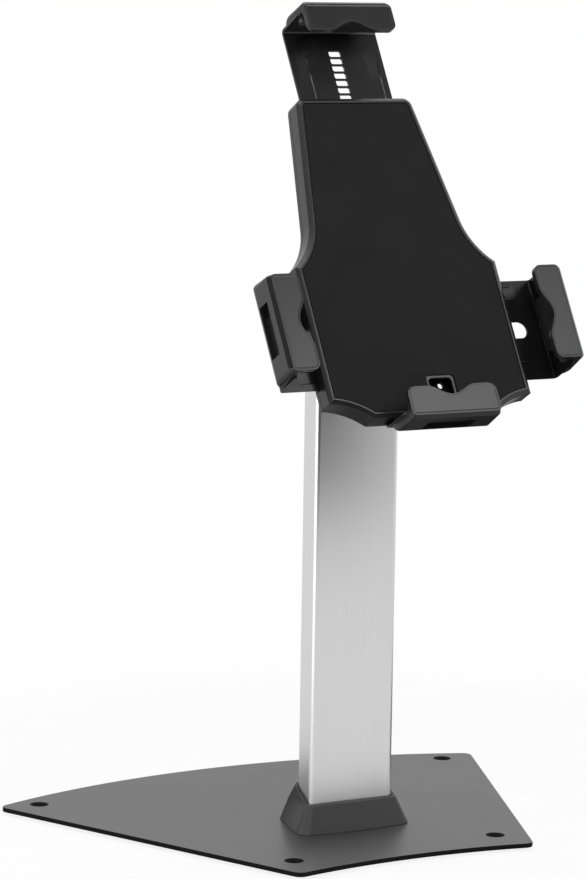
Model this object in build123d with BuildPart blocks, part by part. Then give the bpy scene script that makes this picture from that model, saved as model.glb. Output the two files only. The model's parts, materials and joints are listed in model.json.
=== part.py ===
from build123d import *
import math
import os

os.makedirs("parts", exist_ok=True)

# Locking tablet stand: a fan-shaped steel foot, a flat aluminium column and a tilting clamp head.
# +Z is up, +X is to the right when facing the stand, and the front faces -Y.
# The origin is on the table, straight below the middle of the column.

# Fits and clearances
running_gap = 0.05
slide_gap = 0.4
seat_gap = 0.15

# Foot plate
plate_thick = 3.0
foot_thick = 2.0
foot_radius = 8.0
foot_inset = 20.0
plate_front_half = 83.7
plate_back_half = 179.2
plate_front_y = -92.8
plate_back_y = 135.8
plate_front_bow = 8.9
plate_back_bow = 37.0
plate_corner = 6.0
plate_bottom_z = foot_thick
plate_top_z = plate_bottom_z + plate_thick
anchor_front_x = 72.6
anchor_front_y = -65.1
anchor_back_x = 153.0
anchor_back_y = 130.3
anchor_hole_radius = 3.5
anchor_sink_radius = 6.1

# Column, with two screw channels
column_width = 60.0
column_depth = 17.5
column_corner = 3.0
column_wall = 2.0
column_top_z = 324.0
channel_x = 24.0
channel_outer = 3.6
column_screw_radius = 2.0
column_screw_reach = 18.0
column_screw_head = 3.8
column_screw_head_deep = 1.8
cap_screw_head = 3.6
cap_screw_head_thick = 2.4

# Collar at the foot of the column: low in front, higher behind, with a long slope at the back
collar_front_height = 17.5
collar_back_height = 28.0
collar_slope_front = 7.3
collar_slope = 31.0
collar_foot_front_half = 42.5
collar_foot_back_half = 29.5
collar_foot_front = 16.0
collar_foot_back = 33.0
collar_foot_bow = 4.0
collar_foot_corner = 8.0
collar_waist_front_half = 33.2
collar_waist_back_half = 31.0
collar_waist_front = 11.0
collar_waist_back = 20.0
collar_waist_bow = 2.2
collar_waist_corner = 5.0
collar_top_wall = 1.6
collar_top_bow = 0.8
collar_top_corner = 4.0

# Tilt joint on top of the column
tilt_axis_above_column = 23.0
tilt_axis_z = column_top_z + tilt_axis_above_column
cap_floor_thick = 5.0
cap_ear_inner = 15.0
cap_ear_thick = 5.0
cap_ear_radius = 11.0
cap_ear_half = 8.0
cap_plug_deep = 10.0
cap_plug_gap = 1.0
cap_edge = 1.0
tilt_bolt_radius = 4.0
tilt_bolt_head_radius = 7.0
tilt_bolt_head_thick = 4.5
tilt_socket_radius = 3.0
tilt_nut_flats = 13.0
tilt_nut_thick = 6.5
tilt_bolt_tail = 1.5
bracket_ear_thick = 2.5
bracket_ear_outer = 13.5
bracket_ear_radius = 10.5
bracket_ear_root = 16.0
bracket_plate_thick = 3.0
bracket_plate_half_x = 24.0
bracket_plate_half_y = 20.0
bracket_plate_corner = 4.0
tilt_washer_radius = 10.0

# The head leans back from upright; its frame starts where the swivel axis meets the rim plane.
head_lean = 30.0
rim_from_tilt_axis = 56.0
lean = math.radians(head_lean)
head_normal = Vector(0, -math.cos(lean), math.sin(lean))
head_up = Vector(0, math.sin(lean), math.cos(lean))
head_origin = Vector(0, 0, tilt_axis_z) + head_normal * rim_from_tilt_axis
head = Plane(origin=head_origin, x_dir=(1, 0, 0), z_dir=head_normal)
head_side = Plane(origin=head_origin, x_dir=head_up, z_dir=(1, 0, 0))

# Levels in the head, measured from the rim plane along the head's normal
bevel_deep = 1.8
pad_recess = 1.3
pad_thick = 1.0
cover_floor_level = -3.2
arm_front_level = -8.6
sheet_thick = 1.5
arm_back_level = arm_front_level - sheet_thick
groove_deep = 0.8
parting_level = -10.4
rear_inner_level = -12.0
rear_level = -14.0
housing_level = -27.0
housing_wall = 3.0
housing_inner_level = housing_level + housing_wall
cover_wall = 2.0

# Head outline along the rim, as half widths and heights from the swivel axis
rim_top_half = 38.0
rim_top_y = 102.0
rim_neck_half = 50.3
rim_neck_y = 22.0
rim_hollow_x = 55.2
rim_hollow_y = 5.9
rim_shoulder_half = 67.9
rim_shoulder_y = -10.0
rim_low_y = -95.0
rim_curve_x = 54.6
rim_curve_y = -98.5
rim_tab_half = 42.0
rim_tab_y = -105.7
rim_top_corner = 3.0
rim_half = 0.6
side_grow = 3.1
pad_gap = 0.5

# Arms: pressed steel strips with two long grooves and a turned-up end
arm_half = 33.2
groove_inner = 21.0
groove_outer = 29.0
groove_fade = 4.0
top_groove_end = 128.0
groove_slope = 30.0
bend_radius = 1.5
flange_rise_level = 13.0
claw_wall = 5.5
side_reach = 103.5
top_reach = 162.3
bottom_reach = 118.1
bottom_claw_x = 2.0
side_arm_y = -52.5
slot_count = 20
slot_first_from_claw = 22.3
slot_first_y = top_reach - slot_first_from_claw
slot_pitch = 5.1
slot_width = 8.6
slot_tall = 4.1
slot_corner = 1.2
top_arm_tail_y = 38.0
side_plate_inner = 34.0
side_slot_half = 5.6
side_slot_end = 85.5
bracket_upper_y = -93.0
bracket_screw_x = 22.0
bracket_screw_y = -98.0
sheet_corner = 2.0

# Rack and pinion between the two side arms
gear_module = 1.5
gear_teeth = 12
pressure_angle = math.radians(20)
gear_pitch_radius = gear_module * gear_teeth / 2
tooth_pitch = math.pi * gear_module
gear_tip = 1.25
gear_root = 1.9
rack_tip = 1.0
rack_root = 1.7
rack_bar = 8.2
rack_tail = 26.0
rack_travel = 4 * tooth_pitch
gear_backlash = 0.3
gear_thick = 3.0
axle_radius = 2.5
axle_head_radius = 4.2
axle_head_thick = 0.9
axle_boss_radius = 4.6
pinion_front_level = -8.1
pinion_back_level = pinion_front_level - gear_thick
axial_gap = 0.3

# Claws: plastic hooks over the turned-up ends of the arms
claw_half = 33.3
lip_level = 19.3
lip_thick = 3.5
lip_height = 20.6
lip_inset = 2.2
lip_corner = 5.0
claw_corner = 2.0
dip_half = 17.5
dip_deep = 6.0
claw_edge = 2.2
claw_back_radius = 6.5
claw_back_level = -5.2
cut_margin = 1.0
pocket_half = 16.8
pocket_tall = 10.5
pocket_level = 6.3
pocket_deep = 3.2
pocket_well_long = 7.0
pocket_well_deep = 1.2
pocket_corner = 0.8
claw_pad_half = 17.5
claw_pad_thick = 2.5
claw_pad_low = -4.5
bottom_pad_low = 1.0
claw_pad_high = 12.5
claw_screw_x = 25.5
claw_screw_level = 5.0
claw_screw_radius = 1.5
claw_screw_head = 2.8
claw_screw_head_thick = 1.2
claw_screw_reach = 3.6

# Covers, their screws and the guide rails for the arms
housing_half = 34.0
housing_bottom_y = -68.0
housing_corner = 12.0
housing_edge = 3.0
boss_radius = 3.4
post_radius = 4.4
cover_screw_radius = 1.5
cover_screw_head = 2.8
cover_screw_head_deep = 1.2
boss_points = [(44.0, 22.0), (58.0, -10.0), (58.0, -91.2)]
post_x = 62.0
rail_width = 2.0
rail_gap = 0.3
top_rail_x = 16.0
side_rail_y = 31.0
side_rail_inner = 40.0
side_rail_outer = 67.0
window_left = -1.0
window_right = 18.6
window_top_y = -82.9
window_bottom_y = -99.5
window_corner = 2.5
window_ledge = 1.8
sight_hole_x = 15.2
sight_hole_y = -85.5
sight_hole_radius = 1.8

# Swivel
swivel_bolt_radius = 5.0
swivel_head_radius = 8.5
swivel_head_thick = 4.0
swivel_socket_radius = 4.0
swivel_disc_radius = 20.0
swivel_disc_thick = 1.5
swivel_nut_flats = 16.0
swivel_nut_thick = 5.0
mount_plate_thick = 2.0
mount_plate_half_x = 29.0
mount_plate_half_y = 24.0
mount_screw_x = 23.0
mount_screw_y = 18.0
mount_screw_radius = 2.0
mount_screw_head = 3.6
mount_screw_head_thick = 1.8
mount_screw_reach = 2.4

# Push lock with a bar that pins the top arm and the pinion
lock_pin_slot = 14
lock_pin_radius = 1.7
lock_bar_back_level = -16.0
lock_bar_thick = 1.5
lock_bar_half = 6.0
lock_bar_end_y = -38.0
lock_bar_margin = 3.5
lock_pin_rest_gap = 0.8
lock_foot_inner = 6.4
lock_foot_outer = 13.0
lock_foot_half = 4.5
gear_pin_radius = 0.7
gear_pin_rest_gap = 0.7
barrel_radius = 9.5
barrel_flange_radius = 12.0
barrel_flange_thick = 3.0
barrel_inner_level = -19.0
barrel_nut_radius = 13.0
barrel_nut_thick = 2.5
plunger_radius = 6.0
plunger_out = 8.0
plug_radius = 4.0
plug_deep = 9.0
keyway_half = 0.6
keyway_long = 2.6
keyway_deep = 5.0
lock_pin_from_axis = 9.5
lock_room = 0.9

# Places that follow from the ladder: the lock's pin, the lock itself and the housing's upper wall
lock_pin_y = slot_first_y - lock_pin_slot * slot_pitch
lock_y = lock_pin_y - lock_pin_from_axis
lock_bar_top_y = lock_pin_y + lock_bar_margin
housing_top_y = lock_bar_top_y + lock_room + housing_wall


def level_plane(level):
    return head.offset(level)


def outline_face(level, grow):
    # Bottle-shaped outline of the head, grown or shrunk evenly from the rim line
    with BuildSketch(level_plane(level)) as outline:
        with BuildLine():
            Line((0, rim_tab_y), (rim_tab_half, rim_tab_y))
            ThreePointArc(
                (rim_tab_half, rim_tab_y), (rim_curve_x, rim_curve_y), (rim_shoulder_half, rim_low_y)
            )
            Line((rim_shoulder_half, rim_low_y), (rim_shoulder_half, rim_shoulder_y))
            ThreePointArc(
                (rim_shoulder_half, rim_shoulder_y),
                (rim_hollow_x, rim_hollow_y),
                (rim_neck_half, rim_neck_y),
            )
            Line((rim_neck_half, rim_neck_y), (rim_top_half, rim_top_y))
            Line((rim_top_half, rim_top_y), (0, rim_top_y))
            mirror(about=Plane.YZ)
        make_face()
        fillet(outline.vertices().group_by(Axis.Y)[-1], rim_top_corner)
        if grow != 0:
            offset(amount=grow, kind=Kind.INTERSECTION)
    return outline.sketch


def reach_plane(x, y, outward):
    # Frame of one arm: x runs along its claw, y points outward, and y = 0 is the claw's outer face.
    return Plane(
        origin=head.from_local_coords(Vector(x, y, 0)), x_dir=outward.cross(head_normal), z_dir=head_normal
    )


right_reach = reach_plane(side_reach, side_arm_y, Vector(1, 0, 0))
left_reach = reach_plane(-side_reach, side_arm_y, Vector(-1, 0, 0))
top_arm_reach = reach_plane(0, top_reach, head_up)
bottom_arm_reach = reach_plane(bottom_claw_x, -bottom_reach, head_up * -1)


def section_plane(reach):
    # Plane across an arm, with its own x outward and its own y along the head's normal
    return Plane(origin=reach.origin, x_dir=reach.y_dir, z_dir=reach.x_dir)


def sheet_section(reach, length, grow):
    # L-shaped section of the sheet, turned up at its outer end
    with BuildSketch(section_plane(reach)) as section:
        with BuildLine():
            Polyline(
                (-length, arm_back_level - grow),
                (-claw_wall + grow, arm_back_level - grow),
                (-claw_wall + grow, flange_rise_level + grow),
                (-claw_wall - sheet_thick - grow, flange_rise_level + grow),
                (-claw_wall - sheet_thick - grow, arm_front_level + grow),
                (-length, arm_front_level + grow),
                close=True,
            )
        make_face()
        outer = section.vertices().sort_by_distance((-claw_wall + grow, arm_back_level - grow))[0]
        fillet(outer, bend_radius + sheet_thick + grow)
        inner_point = (-claw_wall - sheet_thick - grow, arm_front_level + grow)
        inner = section.vertices().sort_by_distance(inner_point)[0]
        fillet(inner, bend_radius - grow)
    return section.sketch


def screw_place(reach, side):
    # Axis of one claw screw, pointing outward from the flange's inner face
    start = Vector(side * claw_screw_x, -claw_wall - sheet_thick, claw_screw_level)
    return Plane(origin=reach.from_local_coords(start), x_dir=reach.x_dir, z_dir=reach.y_dir)


def turned_strip(reach, length):
    # Bent strip with rounded upper corners, screw holes and nothing cut in its web
    with BuildPart() as strip:
        extrude(sheet_section(reach, length, 0), amount=arm_half, both=True)
        with BuildSketch(Plane(origin=reach.origin, x_dir=reach.x_dir, z_dir=-reach.y_dir)):
            with Locations((0, flange_rise_level)):
                Rectangle(2 * arm_half, 2 * sheet_corner)
            with Locations((0, flange_rise_level - sheet_corner)):
                Rectangle(2 * arm_half - 2 * sheet_corner, 4 * sheet_corner, mode=Mode.SUBTRACT)
            for side in (-1, 1):
                with Locations((side * (arm_half - sheet_corner), flange_rise_level - sheet_corner)):
                    Circle(sheet_corner, mode=Mode.SUBTRACT)
        extrude(amount=claw_wall + 2 * sheet_thick, mode=Mode.SUBTRACT)
        for side in (-1, 1):
            with BuildSketch(screw_place(reach, side)):
                Circle(claw_screw_radius + running_gap)
            extrude(amount=sheet_thick, both=True, mode=Mode.SUBTRACT)
    return strip.part


def press_grooves(strip, reach, near, far):
    # Two long grooves sunk in the front face, with matching ridges on the back
    middle = -(near + far) / 2
    long = far - near
    centre = (groove_inner + groove_outer) / 2
    across = groove_outer - groove_inner
    spread = groove_deep * math.tan(math.radians(groove_slope))
    with BuildPart() as pressed:
        add(strip)
        for side in (-1, 1):
            with BuildSketch(reach.offset(arm_back_level)):
                with Locations((side * centre, middle)):
                    RectangleRounded(across + spread, long + spread, (across + spread) / 2 - running_gap)
            extrude(amount=-groove_deep, taper=groove_slope)
        for side in (-1, 1):
            with BuildSketch(reach.offset(arm_front_level)):
                with Locations((side * centre, middle)):
                    RectangleRounded(across, long, across / 2 - running_gap)
            extrude(amount=-groove_deep, taper=groove_slope, mode=Mode.SUBTRACT)
    return pressed.part


def side_arm(reach):
    length = side_reach - side_plate_inner
    near = claw_wall + bend_radius + groove_fade
    strip = press_grooves(turned_strip(reach, length), reach, near, length - groove_fade)
    axis_y = -side_reach
    slot_long = side_slot_end - side_plate_inner
    notch_long = 2 * rack_travel - (side_plate_inner - rack_tail) + 2 * slide_gap
    notch_outer = gear_pitch_radius + rack_bar + 2 * slide_gap
    with BuildPart() as arm:
        add(strip)
        with BuildSketch(reach.offset(arm_front_level + sheet_thick)):
            with Locations((0, -length + slot_long / 2 - side_slot_half / 2)):
                Rectangle(2 * side_slot_half, slot_long - side_slot_half)
            with Locations((0, side_slot_end - side_reach - side_slot_half)):
                Circle(side_slot_half)
            with Locations((notch_outer / 2, -length + notch_long / 2)):
                Rectangle(notch_outer, notch_long)
        extrude(amount=-3 * sheet_thick, mode=Mode.SUBTRACT)
        with BuildSketch(reach.offset(arm_back_level)):
            rack_middle_x = -gear_pitch_radius - (rack_root + rack_bar) / 2
            with Locations((rack_middle_x, axis_y + (side_plate_inner - rack_tail) / 2)):
                Rectangle(rack_bar - rack_root, side_plate_inner + rack_tail)
            tip_half = (tooth_pitch - gear_backlash) / 4 - rack_tip * math.tan(pressure_angle)
            root_half = (tooth_pitch - gear_backlash) / 4 + rack_root * math.tan(pressure_angle)
            for number in range(-5, 6):
                tooth_y = axis_y + number * tooth_pitch
                with BuildLine():
                    Polyline(
                        (-gear_pitch_radius + rack_tip, tooth_y - tip_half),
                        (-gear_pitch_radius + rack_tip, tooth_y + tip_half),
                        (-gear_pitch_radius - rack_root, tooth_y + root_half),
                        (-gear_pitch_radius - rack_root - running_gap, tooth_y + root_half),
                        (-gear_pitch_radius - rack_root - running_gap, tooth_y - root_half),
                        (-gear_pitch_radius - rack_root, tooth_y - root_half),
                        close=True,
                    )
                make_face()
        extrude(amount=sheet_thick)
    return arm.part


def claw(reach):
    # Plastic hook: a wall rounded at the back, a lip with a wavy dip, and ends that slant in to the lip
    with BuildPart() as hook:
        with BuildSketch(section_plane(reach)) as section:
            with BuildLine():
                Line((-lip_height, lip_level), (-claw_edge, lip_level))
                Line((-claw_edge, lip_level), (0, lip_level - claw_edge))
                Line((0, lip_level - claw_edge), (0, claw_back_level + claw_back_radius))
                RadiusArc(
                    (0, claw_back_level + claw_back_radius),
                    (-claw_back_radius, claw_back_level),
                    claw_back_radius,
                )
                Polyline(
                    (-claw_back_radius, claw_back_level),
                    (-claw_back_radius, lip_level - lip_thick),
                    (-lip_height, lip_level - lip_thick),
                    (-lip_height, lip_level),
                )
            make_face()
        extrude(amount=claw_half, both=True)
        sheet = sheet_section(reach, 4 * claw_wall, seat_gap)
        extrude(sheet, amount=claw_half, both=True, mode=Mode.SUBTRACT)
        lip_half = claw_half - lip_inset
        with BuildSketch(reach.offset(claw_back_level - cut_margin)) as plan:
            with BuildLine():
                Polyline(
                    (-dip_half, -lip_height),
                    (-lip_half, -lip_height),
                    (-lip_half, -claw_back_radius - lip_inset),
                    (-claw_half, -claw_back_radius),
                    (-claw_half, 0),
                    (claw_half, 0),
                    (claw_half, -claw_back_radius),
                    (lip_half, -claw_back_radius - lip_inset),
                    (lip_half, -lip_height),
                    (dip_half, -lip_height),
                )
                Spline(
                    (dip_half, -lip_height),
                    (dip_half / 2, -lip_height + dip_deep / 2),
                    (0, -lip_height + dip_deep),
                    (-dip_half / 2, -lip_height + dip_deep / 2),
                    (-dip_half, -lip_height),
                    tangents=((-1, 0), (-1, 0)),
                )
            make_face()
            for side in (-1, 1):
                inner = plan.vertices().sort_by_distance((side * lip_half, -lip_height))[0]
                fillet(inner, lip_corner)
                outer = plan.vertices().sort_by_distance((side * claw_half, 0))[0]
                fillet(outer, claw_corner)
        extrude(amount=lip_level - claw_back_level + 2 * cut_margin, mode=Mode.INTERSECT)
        wall_face = Plane(origin=reach.origin, x_dir=reach.x_dir, z_dir=-reach.y_dir)
        with BuildSketch(wall_face):
            with BuildLine():
                Polyline(
                    (-claw_half, claw_back_level),
                    (claw_half, claw_back_level),
                    (lip_half, lip_level),
                    (-lip_half, lip_level),
                    close=True,
                )
            make_face()
        extrude(amount=lip_height, mode=Mode.INTERSECT)
        with BuildSketch(wall_face):
            with Locations((0, pocket_level)):
                RectangleRounded(2 * pocket_half, pocket_tall, pocket_corner)
        extrude(amount=pocket_deep, mode=Mode.SUBTRACT)
        with BuildSketch(wall_face.offset(pocket_deep)):
            with Locations((pocket_half - pocket_well_long / 2, pocket_level)):
                RectangleRounded(pocket_well_long, pocket_tall, pocket_corner)
        extrude(amount=pocket_well_deep, mode=Mode.SUBTRACT)
        for side in (-1, 1):
            with BuildSketch(screw_place(reach, side)):
                Circle(claw_screw_radius + running_gap)
            extrude(amount=sheet_thick + claw_screw_reach + seat_gap, mode=Mode.SUBTRACT)
    return hook.part


def claw_pad(reach, low):
    # Rubber pad stuck on the inner face of the flange
    inner_face = Plane(
        origin=reach.from_local_coords(Vector(0, -claw_wall - sheet_thick, 0)),
        x_dir=reach.x_dir,
        z_dir=-reach.y_dir,
    )
    with BuildPart() as pad:
        with BuildSketch(inner_face):
            with Locations((0, (low + claw_pad_high) / 2)):
                RectangleRounded(2 * claw_pad_half, claw_pad_high - low, sheet_corner)
        extrude(amount=claw_pad_thick)
    return pad.part


def claw_screws(reach):
    with BuildPart() as screws:
        for side in (-1, 1):
            with BuildSketch(screw_place(reach, side)):
                Circle(claw_screw_head)
            extrude(amount=-claw_screw_head_thick)
            with BuildSketch(screw_place(reach, side)):
                Circle(claw_screw_radius)
            extrude(amount=sheet_thick + claw_screw_reach)
    return screws.part


def head_block(left, right, low, high, back_level, front_level):
    # Square-edged block in the head, given by its sides and its two levels
    with BuildPart() as block:
        with BuildSketch(level_plane(back_level)):
            with Locations(((left + right) / 2, (low + high) / 2)):
                Rectangle(right - left, high - low)
        extrude(amount=front_level - back_level)
    return block.part


def head_rod(x, y, radius, back_level, front_level):
    # Round bar or bore along the head's normal
    with BuildPart() as rod:
        with BuildSketch(level_plane(back_level)):
            with Locations((x, y)):
                Circle(radius)
        extrude(amount=front_level - back_level)
    return rod.part


# Foot plate: side edges run straight, the front edge bows in and the back edge bows out
with BuildPart() as base_plate:
    with BuildSketch(Plane.XY.offset(plate_bottom_z)):
        with BuildLine():
            ThreePointArc(
                (-plate_front_half, plate_front_y),
                (0, plate_front_y + plate_front_bow),
                (plate_front_half, plate_front_y),
            )
            Line((plate_front_half, plate_front_y), (plate_back_half, plate_back_y))
            ThreePointArc(
                (plate_back_half, plate_back_y),
                (0, plate_back_y + plate_back_bow),
                (-plate_back_half, plate_back_y),
            )
            Line((-plate_back_half, plate_back_y), (-plate_front_half, plate_front_y))
        make_face()
    extrude(amount=plate_thick)
    fillet(base_plate.edges().filter_by(Axis.Z), plate_corner)
    with Locations(
        (anchor_front_x, anchor_front_y, plate_top_z),
        (-anchor_front_x, anchor_front_y, plate_top_z),
        (anchor_back_x, anchor_back_y, plate_top_z),
        (-anchor_back_x, anchor_back_y, plate_top_z),
    ):
        CounterSinkHole(anchor_hole_radius, anchor_sink_radius, counter_sink_angle=90)
    with BuildSketch(Plane.XY.offset(plate_bottom_z)):
        with Locations((channel_x, 0), (-channel_x, 0)):
            Circle(column_screw_radius + seat_gap)
    extrude(amount=plate_thick, mode=Mode.SUBTRACT)
    with BuildSketch(Plane.XY.offset(plate_bottom_z)):
        with Locations((channel_x, 0), (-channel_x, 0)):
            Circle(column_screw_head + seat_gap)
    extrude(amount=column_screw_head_deep, taper=45, mode=Mode.SUBTRACT)
base_plate.part.label = "base_plate"
export_step(base_plate.part, "parts/base_plate.step")

# Rubber feet: one beside each anchor hole, one at the middle of the back and one under the column
with BuildPart() as rubber_feet:
    with BuildSketch(Plane.XY):
        with Locations(
            (anchor_front_x - foot_inset, anchor_front_y),
            (foot_inset - anchor_front_x, anchor_front_y),
            (anchor_back_x - foot_inset, anchor_back_y),
            (foot_inset - anchor_back_x, anchor_back_y),
            (0, plate_back_y + plate_back_bow - foot_inset),
            (0, 0),
        ):
            Circle(foot_radius)
    extrude(amount=foot_thick)
rubber_feet.part.label = "rubber_feet"
export_step(rubber_feet.part, "parts/rubber_feet.step")

# Column: flat hollow extrusion with two screw channels along its whole length
with BuildPart() as column:
    with BuildSketch(Plane.XY.offset(plate_top_z)):
        RectangleRounded(column_width, column_depth, column_corner)
        Rectangle(column_width - 2 * column_wall, column_depth - 2 * column_wall, mode=Mode.SUBTRACT)
        with Locations((channel_x, 0), (-channel_x, 0)):
            Circle(channel_outer)
            Rectangle(column_wall, column_depth - column_wall)
            Circle(column_screw_radius + running_gap, mode=Mode.SUBTRACT)
    extrude(amount=column_top_z - plate_top_z)
column.part.label = "column"
export_step(column.part, "parts/column.step")

# Countersunk screws from below the plate into the column's channels
with BuildPart() as column_foot_screws:
    with BuildSketch(Plane.XY.offset(plate_bottom_z)):
        with Locations((channel_x, 0), (-channel_x, 0)):
            Circle(column_screw_head)
    extrude(amount=column_screw_head_deep, taper=45)
    with BuildSketch(Plane.XY.offset(plate_bottom_z)):
        with Locations((channel_x, 0), (-channel_x, 0)):
            Circle(column_screw_radius)
    extrude(amount=plate_thick + column_screw_reach)
column_foot_screws.part.label = "column_foot_screws"
export_step(column_foot_screws.part, "parts/column_foot_screws.step")


def collar_face(height, front_half, back_half, front, back, bow, corner):
    with BuildSketch(Plane.XY.offset(plate_top_z + height)) as face:
        with BuildLine():
            ThreePointArc((-front_half, -front), (0, -front - bow), (front_half, -front))
            Line((front_half, -front), (back_half, back))
            ThreePointArc((back_half, back), (0, back + bow), (-back_half, back))
            Line((-back_half, back), (-front_half, -front))
        make_face()
        fillet(face.vertices(), corner)
    return face.sketch


# Collar: flared plastic skirt whose top edge climbs along the sides
collar_top_half = column_width / 2 + collar_top_wall
collar_top_depth = column_depth / 2 + collar_top_wall
with BuildPart() as base_collar:
    loft(
        [
            collar_face(
                0,
                collar_foot_front_half,
                collar_foot_back_half,
                collar_foot_front,
                collar_foot_back,
                collar_foot_bow,
                collar_foot_corner,
            ),
            collar_face(
                collar_front_height,
                collar_waist_front_half,
                collar_waist_back_half,
                collar_waist_front,
                collar_waist_back,
                collar_waist_bow,
                collar_waist_corner,
            ),
            collar_face(
                collar_back_height,
                collar_top_half,
                collar_top_half,
                collar_top_depth,
                collar_top_depth,
                collar_top_bow,
                collar_top_corner,
            ),
        ],
        ruled=True,
    )
    with BuildSketch(Plane.YZ):
        with BuildLine():
            climb_end = collar_foot_back + collar_slope_front
            rise = climb_end * math.tan(math.radians(collar_slope))
            Polyline(
                (-collar_foot_back, plate_top_z + collar_front_height),
                (-collar_slope_front, plate_top_z + collar_front_height),
                (collar_foot_back, plate_top_z + collar_front_height + rise),
                (-collar_foot_back, plate_top_z + collar_front_height + rise),
                close=True,
            )
        make_face()
    extrude(amount=collar_foot_front_half, both=True, mode=Mode.SUBTRACT)
    with BuildSketch(Plane.XY.offset(plate_top_z)):
        RectangleRounded(
            column_width + 2 * seat_gap, column_depth + 2 * seat_gap, column_corner + seat_gap
        )
    extrude(amount=collar_back_height, mode=Mode.SUBTRACT)
base_collar.part.label = "base_collar"
export_step(base_collar.part, "parts/base_collar.step")

# Cast cap with a plug into the column and two ears that hold the tilt bolt
cap_top_z = column_top_z + cap_floor_thick
with BuildPart() as column_cap:
    with BuildSketch(Plane.XY.offset(column_top_z)):
        RectangleRounded(column_width, column_depth, column_corner)
    extrude(amount=cap_floor_thick)
    chamfer(column_cap.faces().sort_by(Axis.Z)[-1].edges(), cap_edge)
    for side in (-1, 1):
        with BuildSketch(Plane.YZ.offset(side * (cap_ear_inner + cap_ear_thick / 2))):
            with Locations((0, tilt_axis_z)):
                Circle(cap_ear_radius)
            with Locations((0, (tilt_axis_z + column_top_z) / 2)):
                Rectangle(2 * cap_ear_half, tilt_axis_z - column_top_z)
        extrude(amount=cap_ear_thick / 2, both=True)
    with BuildSketch(Plane.YZ):
        with Locations((0, tilt_axis_z)):
            Circle(tilt_bolt_radius + running_gap)
    extrude(amount=column_width, both=True, mode=Mode.SUBTRACT)
    with BuildSketch(Plane.XY.offset(column_top_z - cap_plug_deep)):
        Rectangle(
            2 * (channel_x - channel_outer - cap_plug_gap), column_depth - 2 * column_wall - 2 * seat_gap
        )
    extrude(amount=cap_plug_deep)
    with BuildSketch(Plane.XY.offset(column_top_z)):
        with Locations((channel_x, 0), (-channel_x, 0)):
            Circle(column_screw_radius + seat_gap)
    extrude(amount=cap_floor_thick, mode=Mode.SUBTRACT)
column_cap.part.label = "column_cap"
export_step(column_cap.part, "parts/column_cap.step")

# Screws from the cap into the column's channels
with BuildPart() as column_cap_screws:
    with BuildSketch(Plane.XY.offset(cap_top_z)):
        with Locations((channel_x, 0), (-channel_x, 0)):
            Circle(cap_screw_head)
    extrude(amount=cap_screw_head_thick)
    with BuildSketch(Plane.XY.offset(cap_top_z - cap_floor_thick - column_screw_reach)):
        with Locations((channel_x, 0), (-channel_x, 0)):
            Circle(column_screw_radius)
    extrude(amount=cap_floor_thick + column_screw_reach)
column_cap_screws.part.label = "column_cap_screws"
export_step(column_cap_screws.part, "parts/column_cap_screws.step")

# Tilt bolt, its nut and the two friction washers between the ears
cap_ear_outer = cap_ear_inner + cap_ear_thick
with BuildPart() as tilt_bolt:
    with BuildSketch(Plane.YZ.offset(-cap_ear_outer)):
        with Locations((0, tilt_axis_z)):
            Circle(tilt_bolt_head_radius)
    extrude(amount=-tilt_bolt_head_thick)
    with BuildSketch(Plane.YZ.offset(-cap_ear_outer)):
        with Locations((0, tilt_axis_z)):
            Circle(tilt_bolt_radius)
    extrude(amount=2 * cap_ear_outer + tilt_nut_thick + tilt_bolt_tail)
    with BuildSketch(Plane.YZ.offset(-cap_ear_outer - tilt_bolt_head_thick)):
        with Locations((0, tilt_axis_z)):
            RegularPolygon(tilt_socket_radius, 6)
    extrude(amount=tilt_bolt_head_thick / 2, mode=Mode.SUBTRACT)
tilt_bolt.part.label = "tilt_bolt"
export_step(tilt_bolt.part, "parts/tilt_bolt.step")

with BuildPart() as tilt_nut:
    with BuildSketch(Plane.YZ.offset(cap_ear_outer)):
        with Locations((0, tilt_axis_z)):
            RegularPolygon(tilt_nut_flats / 2, 6, major_radius=False)
            Circle(tilt_bolt_radius + running_gap, mode=Mode.SUBTRACT)
    extrude(amount=tilt_nut_thick)
tilt_nut.part.label = "tilt_nut"
export_step(tilt_nut.part, "parts/tilt_nut.step")

with BuildPart() as tilt_friction_washers:
    for side in (-1, 1):
        with BuildSketch(Plane.YZ.offset(side * (bracket_ear_outer + cap_ear_inner) / 2)):
            with Locations((0, tilt_axis_z)):
                Circle(tilt_washer_radius)
                Circle(tilt_bolt_radius + running_gap, mode=Mode.SUBTRACT)
        extrude(amount=(cap_ear_inner - bracket_ear_outer) / 2, both=True)
tilt_friction_washers.part.label = "tilt_friction_washers"
export_step(tilt_friction_washers.part, "parts/tilt_friction_washers.step")

# Tilt bracket: a plate behind the head with two ears back to the tilt bolt
bracket_front_level = housing_level - swivel_disc_thick
bracket_back_level = bracket_front_level - bracket_plate_thick
with BuildPart() as tilt_bracket:
    with BuildSketch(level_plane(bracket_back_level)):
        RectangleRounded(2 * bracket_plate_half_x, 2 * bracket_plate_half_y, bracket_plate_corner)
    extrude(amount=bracket_plate_thick)
    for side in (-1, 1):
        with BuildSketch(head_side.offset(side * (bracket_ear_outer - bracket_ear_thick / 2))):
            with BuildLine():
                Polyline(
                    (-bracket_ear_root, bracket_back_level + bracket_plate_thick / 2),
                    (bracket_ear_root, bracket_back_level + bracket_plate_thick / 2),
                    (bracket_ear_radius, -rim_from_tilt_axis),
                    (-bracket_ear_radius, -rim_from_tilt_axis),
                    close=True,
                )
            make_face()
            with Locations((0, -rim_from_tilt_axis)):
                Circle(bracket_ear_radius)
        extrude(amount=bracket_ear_thick / 2, both=True)
    with BuildSketch(head_side):
        with Locations((0, -rim_from_tilt_axis)):
            Circle(tilt_bolt_radius + running_gap)
    extrude(amount=column_width, both=True, mode=Mode.SUBTRACT)
    add(
        head_rod(0, 0, swivel_bolt_radius + running_gap, bracket_back_level, bracket_front_level),
        mode=Mode.SUBTRACT,
    )
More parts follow.
